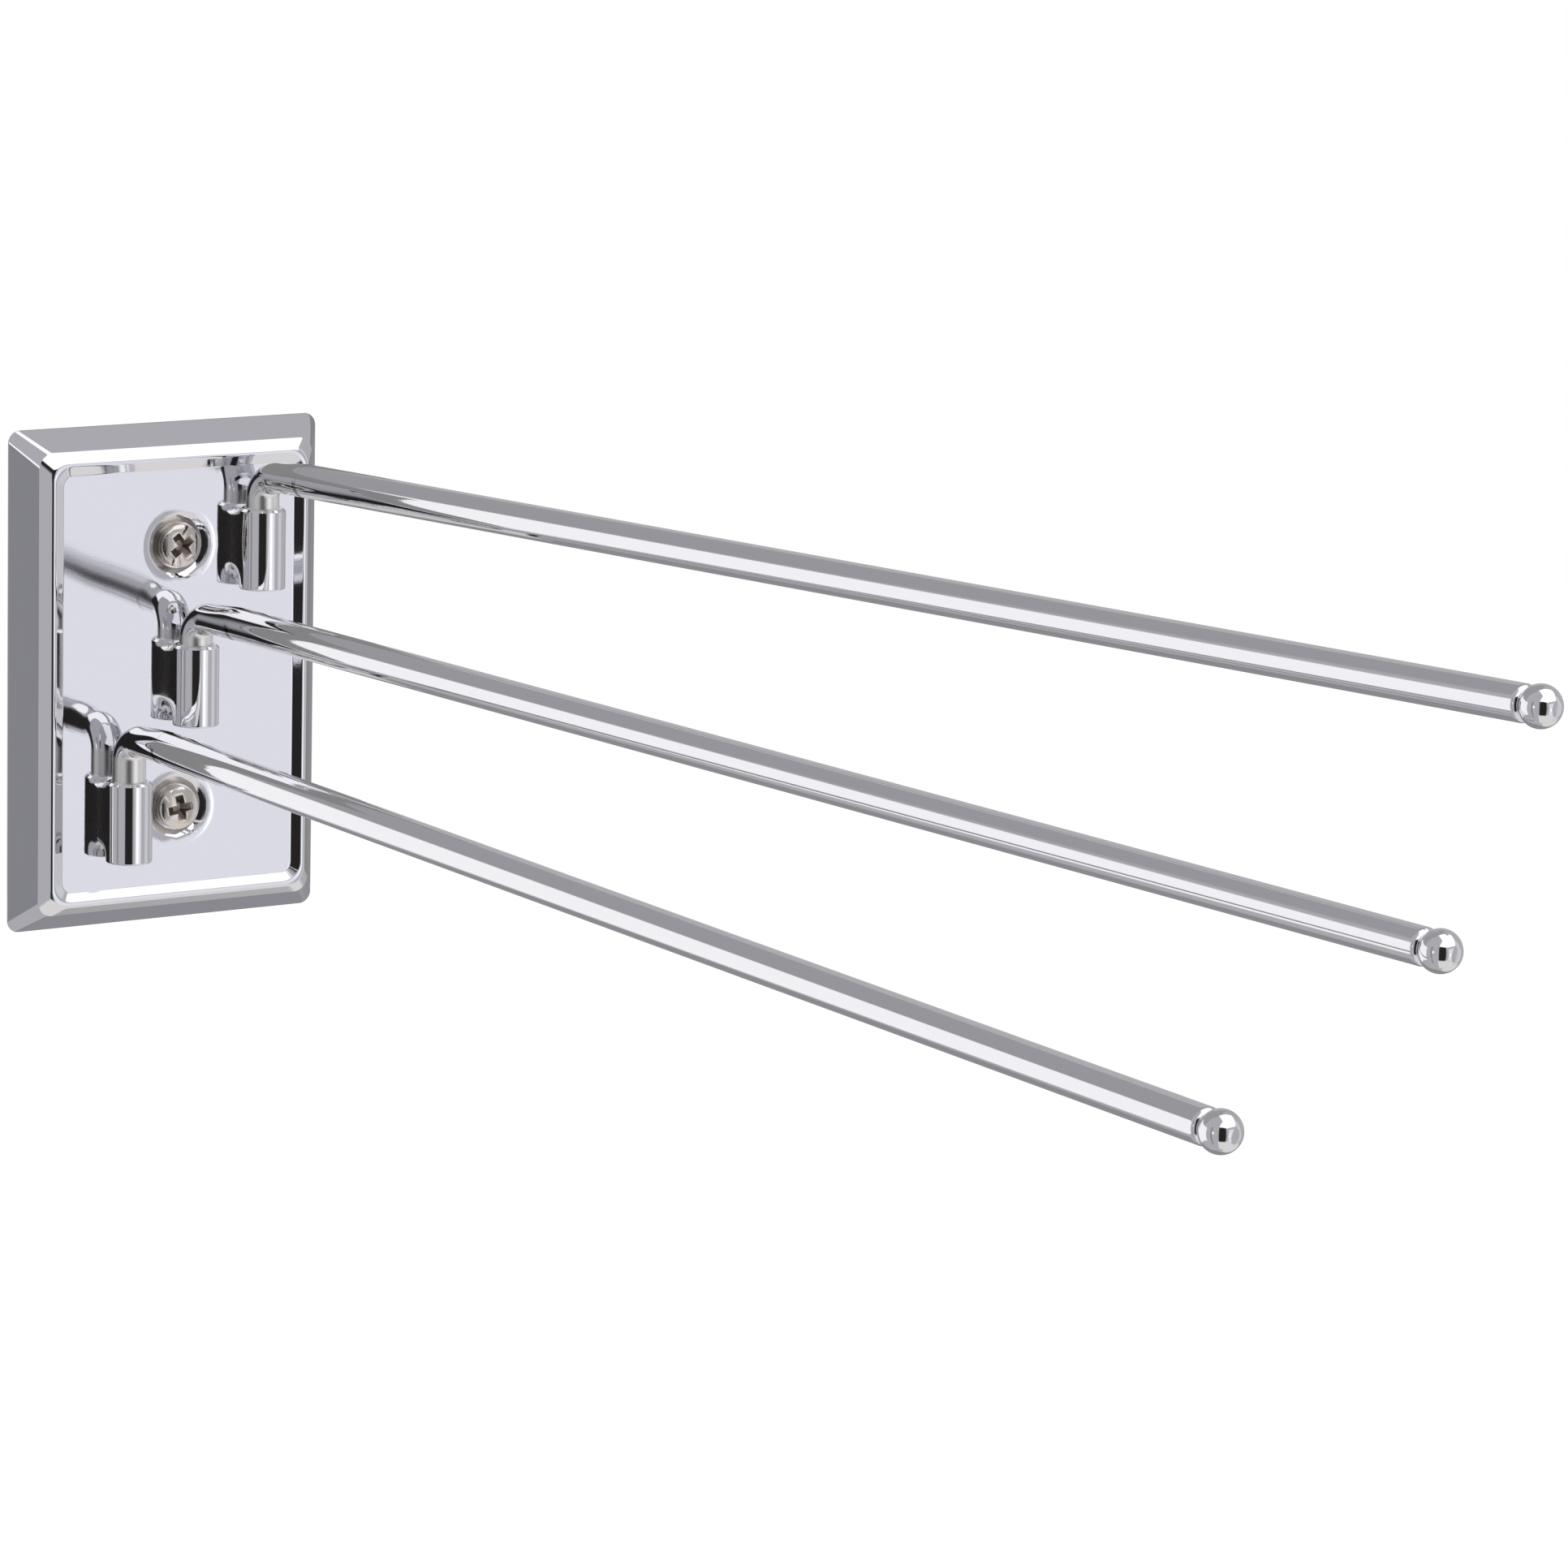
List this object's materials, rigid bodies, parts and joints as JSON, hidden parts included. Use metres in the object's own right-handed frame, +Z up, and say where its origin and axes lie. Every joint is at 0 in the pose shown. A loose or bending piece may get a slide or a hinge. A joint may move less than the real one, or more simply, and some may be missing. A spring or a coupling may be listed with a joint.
{
  "type": "swing-arm towel rack",
  "caption": "Wall-mounted chrome towel rack: a pressed rectangular plate with pivot sockets on a diagonal and long round rods with ball tips that swing sideways.",
  "frame": {"origin": "centre of the plate's back, on the wall, midway between the two wall screws", "axes": "+Z up, +Y into the wall, so the arms reach out along -Y and +X is to the right seen from the room"},
  "size_m": [0.1075, 0.3573, 0.0952],
  "materials": {
    "plate_chrome": "bright chrome plate on pressed sheet steel",
    "socket_chrome": "bright chrome plate on turned steel",
    "arm_chrome": "bright chrome plate on drawn steel rod",
    "tip_chrome": "bright chrome plate on a turned ball",
    "screw_nickel": "bright nickel plate on a steel screw"
  },
  "bodies": {
    "wall_body": {"wall_plate": "plate_chrome", "socket_top": "socket_chrome", "socket_middle": "socket_chrome", "socket_bottom": "socket_chrome", "wall_screw_upper": "screw_nickel", "wall_screw_lower": "screw_nickel"},
    "top_arm_body": {"arm_top": "arm_chrome", "ball_tip_top": "tip_chrome"},
    "middle_arm_body": {"arm_middle": "arm_chrome", "ball_tip_middle": "tip_chrome"},
    "bottom_arm_body": {"arm_bottom": "arm_chrome", "ball_tip_bottom": "tip_chrome"}
  },
  "joints": [
    {"name": "top_arm_swing", "type": "hinge", "parent": "wall_body", "child": "top_arm_body", "pos_m": [0.0152, -0.0112, 0.03185], "axis": [0, 0, 1], "range_deg": [-100.2, 79.8]},
    {"name": "middle_arm_swing", "type": "hinge", "parent": "wall_body", "child": "middle_arm_body", "pos_m": [0.0013, -0.0112, 0.00685], "axis": [0, 0, 1], "range_deg": [-99.4, 80.6]},
    {"name": "bottom_arm_swing", "type": "hinge", "parent": "wall_body", "child": "bottom_arm_body", "pos_m": [-0.0126, -0.0112, -0.01815], "axis": [0, 0, 1], "range_deg": [-94, 51]}
  ]
}
